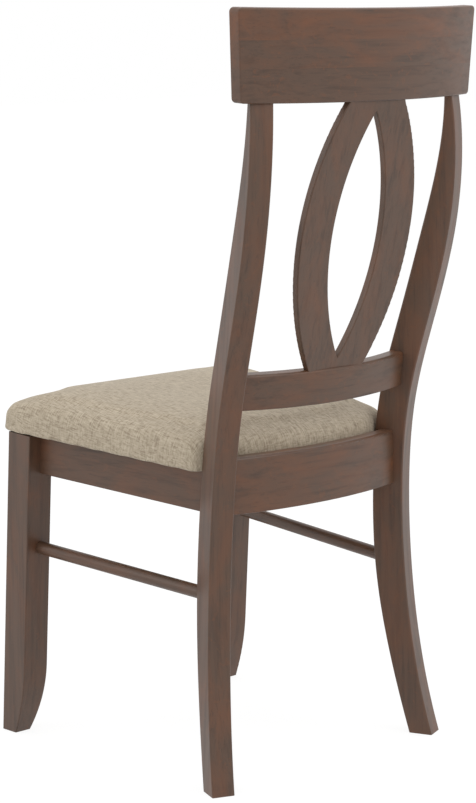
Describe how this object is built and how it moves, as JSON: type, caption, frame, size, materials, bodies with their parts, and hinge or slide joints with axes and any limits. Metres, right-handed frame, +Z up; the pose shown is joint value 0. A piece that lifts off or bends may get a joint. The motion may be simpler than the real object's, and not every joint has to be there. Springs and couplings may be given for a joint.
{
  "type": "dining chair",
  "caption": "Wooden dining side chair with a curved crest rail, an open splat of two bowed slats, sabre legs, side stretchers and an upholstered seat.",
  "frame": {"origin": "on the floor under the middle of the chair's outer box", "axes": "+Z up; the sitter faces -Y, so the back is at +Y; +X towards the sitter's left"},
  "size_m": [0.443, 0.5223, 1.0147],
  "materials": {
    "frame_wood": "dark weathered brown, matt",
    "block_wood": "plain sawn softwood",
    "board_wood": "plain plywood",
    "foam": "open-cell foam",
    "seat_fabric": "beige slubbed linen weave",
    "dust_cloth": "thin black cloth",
    "dowel_wood": "plain beech",
    "screw_steel": "zinc plated"
  },
  "bodies": {
    "root": {"crest_rail": "frame_wood", "lower_back_rail": "frame_wood", "rear_seat_rail": "frame_wood", "front_rail": "frame_wood", "front_leg_left": "frame_wood", "rear_post_left": "frame_wood", "splat_bow_left": "frame_wood", "side_rail_left": "frame_wood", "stretcher_left": "frame_wood", "front_leg_right": "frame_wood", "rear_post_right": "frame_wood", "splat_bow_right": "frame_wood", "side_rail_right": "frame_wood", "stretcher_right": "frame_wood", "corner_block_front_left": "block_wood", "corner_block_rear_left": "block_wood", "corner_block_front_right": "block_wood", "corner_block_rear_right": "block_wood", "seat_board": "board_wood", "seat_foam": "foam", "seat_cover": "seat_fabric", "dust_cover": "dust_cloth", "front_rail_dowels": "dowel_wood", "side_rail_dowels": "dowel_wood", "rear_rail_dowels": "dowel_wood", "back_rail_dowels": "dowel_wood", "crest_dowels": "dowel_wood", "splat_dowels": "dowel_wood", "seat_screws": "screw_steel", "block_screws": "screw_steel"}
  },
  "joints": []
}
